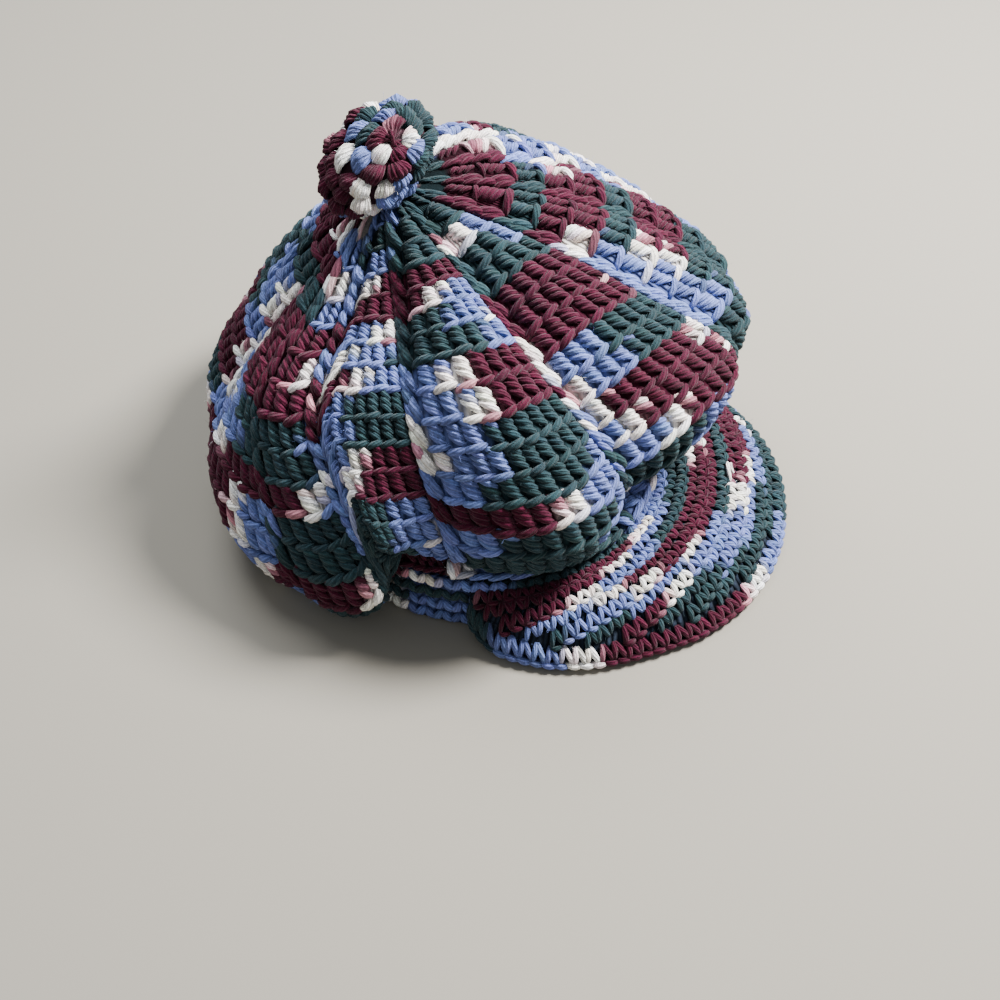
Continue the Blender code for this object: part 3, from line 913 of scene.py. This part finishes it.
# The core is painted near black, as the shade in the gaps between the peak's stitches.
peak_core = closed_tube("peak_core", core_rings, (0.02, 0.03, 0.05), peak_angles[::2] / 3.0,
                        all_round=False)
peak_core.data.materials.append(crochet_back("peak_core"))
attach(peak_core, "root")
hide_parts("peak")


# ---------------------------------------------------------------- the button
# A flat knob on the top, crocheted in a spiral over a wad of yarn and sewn on by its
# underside, so that it leans to one side.

BUTTON_HALF_SIZE = (28.5, 21.5, 15.0)      # along its length, its width and its height
BUTTON_MIDDLE = np.array([52.3, 56.6, 171.5])
BUTTON_SPREAD = 21.0                       # millimetres over its face for each radian
BUTTON_REACH = 24.0                        # half its width, for the size of the bobbles
BOBBLE_BEFORE, BOBBLE_AFTER = 5.2, 5.4      # its strands' reach to either side of the round
BOBBLE_HEIGHT, BOBBLE_HALF_STRAND = 9.4, 1.45
button_up = np.array([-0.35, 0.33, 0.88])
button_up /= np.linalg.norm(button_up)
button_long = np.array([0.66, -0.58, 0.48])
button_long -= button_up * button_long.dot(button_up)
button_long /= np.linalg.norm(button_long)
button_axes = np.array([button_long, np.cross(button_up, button_long), button_up])
# The spiral starts off to one side, where the knob was pulled over as it was sewn down.
spiral_pole = np.array([0.25, -0.59, 0.77])
spiral_pole /= np.linalg.norm(spiral_pole)
spiral_side = np.array([1.0, 0.0, 0.0]) - spiral_pole * spiral_pole[0]
spiral_side /= np.linalg.norm(spiral_side)
# How far over the face each round lies from the spiral's start, and the dye of its bobbles
BUTTON_ROUNDS = (
    (1.0, (2.0, 2.8)),
    (6.5, (7.05, 3.0, 8.0, 4.0, 22.95)),
    (12.5, (14.0, 9.5, 15.0, 10.0, 3.0, 5.0, 20.0, 14.0)),
    (19.5, (14.0, 15.0, 16.0, 20.0, 8.2, 2.0, 8.3, 22.3, 20.0, 18.0, 15.0, 14.0)),
    (27.5, [19.2 + 1.5 * k for k in range(15)]),
    (35.5, [17.0 + 1.6 * k for k in range(15)]),
    (43.5, [9.0 + 1.7 * k for k in range(14)]),
    (51.5, [14.0 + 2.0 * k for k in range(11)]),
    (58.5, [4.0 + 2.0 * k for k in range(6)]),
)


def on_button(turn, run):
    """The button's face: turn in whole turns, run in millimetres from the spiral's start."""
    turn = np.asarray(turn, float)[..., None] * 2 * pi
    down = np.clip(np.asarray(run, float)[..., None] / BUTTON_SPREAD, -0.4, pi - 0.02)
    ball = (np.cos(down) * spiral_pole + np.sin(down)
            * (np.cos(turn) * spiral_side + np.sin(turn) * np.cross(spiral_pole, spiral_side)))
    points = BUTTON_MIDDLE + (ball * BUTTON_HALF_SIZE) @ button_axes
    out = (ball / BUTTON_HALF_SIZE) @ button_axes
    return points, out / np.linalg.norm(out, axis=-1)[..., None]


def button_stitches():
    """Bobbles of five strands each, drawn together at both ends."""
    starts, bows, ends, lifts, widths, dyes = [], [], [], [], [], []
    for run, round_dyes in BUTTON_ROUNDS:
        count = len(round_dyes)
        bobble = max(2 * pi * BUTTON_REACH * sin(run / BUTTON_SPREAD) / count, 5.0)
        for k, dye in enumerate(round_dyes):
            jog = chance.normal(0, 0.12, 5)
            middle, run_here = k + 0.5 + jog[0], run + 7 * jog[1]
            twist = 0.12 + 2.4 * jog[2]
            for t in (-2, -1, 0, 1, 2):
                start = ((middle + 0.08 * t - twist / 2) / count, run_here - BOBBLE_BEFORE)
                end = ((middle + 0.10 * t + twist / 2) / count, run_here + BOBBLE_AFTER)
                starts.append(start)
                ends.append(end)
                bows.append(((start[0] + end[0]) / 2 + 0.17 * t / count,
                             (start[1] + end[1]) / 2))
                lifts.append((-2.6, BOBBLE_HEIGHT - 1.5 * abs(t) + 10 * jog[3], -2.6))
                widths.append(min(BOBBLE_HALF_STRAND, 0.165 * bobble) * (1 + jog[4] / 2))
                dyes.append(dye + 0.1 * t)
    return yarn_strands(on_button, starts, bows, ends, lifts, widths, dyes)


yarn_laid.append((button_stitches(), 800))
button = strands_mesh("top_button", [yarn_laid[-1][0]])
button.data.materials.append(plied_cotton("button_cotton"))
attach(button, "root")
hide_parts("button")

bpy.ops.object.select_all(action="DESELECT")
bpy.ops.mesh.primitive_uv_sphere_add(segments=24, ring_count=14, radius=1.0)
button_core = bpy.context.object
button_core.name = "button_core"
for vertex in button_core.data.vertices:
    turn = atan2(vertex.co.y, vertex.co.x) / (2 * pi)
    down = atan2(hypot(vertex.co.x, vertex.co.y), vertex.co.z) / pi
    point, out = on_button(np.array(turn), np.array(down * pi * BUTTON_SPREAD))
    vertex.co = Vector((point - out * 0.6) * MM + HEAD_MIDDLE)
# The wad under the bobbles is painted near black, as the shade between them.
button_core_painted_shade = button_core.data.attributes.new("dye", "FLOAT_COLOR", "POINT")
button_core_painted_shade.data.foreach_set("color", np.tile([0.05, 0.02, 0.03, 1.0],
                                           len(button_core.data.vertices)))
button_core.data.uv_layers[0].name = "plies"
button_core.data.materials.append(crochet_back("button_core"))
bpy.ops.object.shade_smooth()
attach(button_core, "root")
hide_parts("button")


# ---------------------------------------------------------------- the cotton's loose fibres
# Short ends of fibre stand up all over the yarn after wear, each a little paler than the
# strand that it comes from.

FIBRE_WIDTH = 0.055

bpy.ops.object.select_all(action="DESELECT")
bpy.ops.mesh.primitive_uv_sphere_add(segments=3, ring_count=3, radius=1.0)
fibre_pattern = pattern_of(bpy.context.object)


def in_the_air(x, y, z):
    points = np.stack([x, y, z], axis=-1)
    return points, np.zeros_like(points) + (0.36, 0.48, 0.8)


def fibres(strands, count):
    """Bent fibres that spring from the faces of these strands, in the strands' own dye."""
    which = chance.integers(len(strands["points"]), size=count)
    ring = strands["points"].shape[1]
    root = strands["points"][which, chance.integers(ring, size=count)]
    away = root - strands["points"][which].mean(axis=1)
    away /= np.maximum(np.linalg.norm(away, axis=1), 1e-6)[:, None]
    away[:, 2] = np.abs(away[:, 2])
    tip = root + away * chance.uniform(0.2, 1.8, (count, 1))
    tip += chance.normal(0, 1.1, (count, 3))
    bend = (root + tip) / 2 + away * 0.5 + chance.normal(0, 0.7, (count, 3))
    paler = np.clip(strands["colours"][which] * 1.3 + 0.015, 0, 1)
    return lay_strands(fibre_pattern, in_the_air, root - away * 0.4, bend, tip,
                       np.zeros((count, 3)), np.full(count, FIBRE_WIDTH), paler, 1.0)


loose = strands_mesh("loose_fibres", [fibres(*laid) for laid in yarn_laid])
loose.data.materials.append(plied_cotton("cotton_fibre", relief=0.1))
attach(loose, "root")
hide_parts("crown")


# ---------------------------------------------------------------- floor, light and camera
# A pale, plain floor, with soft light from a window on the near side and a wide, weaker one
# from behind.

bpy.ops.object.select_all(action="DESELECT")
bpy.ops.mesh.primitive_plane_add(size=40.0, location=(0, 0, 0))
floor = bpy.context.object
floor.name = "floor"
floor_finish, _, floor_shader = shader_of("floor_pale")
floor_shader.inputs["Base Color"].default_value = (0.27, 0.25, 0.21, 1.0)
floor_shader.inputs["Roughness"].default_value = 0.9
floor.data.materials.append(floor_finish)

world = bpy.data.worlds.new("studio")
bpy.context.scene.world = world
world.use_nodes = True
world.node_tree.nodes["Background"].inputs["Color"].default_value = (0.92, 0.96, 1.0, 1.0)
world.node_tree.nodes["Background"].inputs["Strength"].default_value = 0.4


def soft_light(name, place, aim, size, watts, colour):
    lamp = bpy.data.lights.new(name, "AREA")
    lamp.shape = "DISK"
    lamp.size = size
    lamp.energy = watts
    lamp.color = colour
    thing = bpy.data.objects.new(name, lamp)
    thing.location = place
    thing.rotation_euler = (Vector(aim) - Vector(place)).to_track_quat("-Z", "Y").to_euler()
    bpy.context.scene.collection.objects.link(thing)


soft_light("window", (0.42, -0.74, 1.08), (0, 0, 0.05), 0.42, 82.0, (1.0, 0.985, 0.97))
soft_light("ceiling", (0.7, 0.5, 1.2), (0, 0, 0.05), 0.9, 24.0, (0.93, 0.96, 1.0))

CAMERA_PLACE = (-0.396, -0.0631, 0.4757)       # from the middle of the head opening, metres
CAMERA_HEADING, CAMERA_DOWN = radians(82.0), radians(50.0)
camera_lens = bpy.data.cameras.new("camera")
camera_lens.sensor_width = 36.0
camera_lens.lens = 41.472
camera = bpy.data.objects.new("camera", camera_lens)
camera.location = Vector(HEAD_MIDDLE) + Vector(CAMERA_PLACE)
looking = Vector((sin(CAMERA_HEADING) * cos(CAMERA_DOWN), cos(CAMERA_HEADING) * cos(CAMERA_DOWN),
                  -sin(CAMERA_DOWN)))
camera.rotation_euler = looking.to_track_quat("-Z", "Y").to_euler()
bpy.context.scene.collection.objects.link(camera)
bpy.context.scene.camera = camera
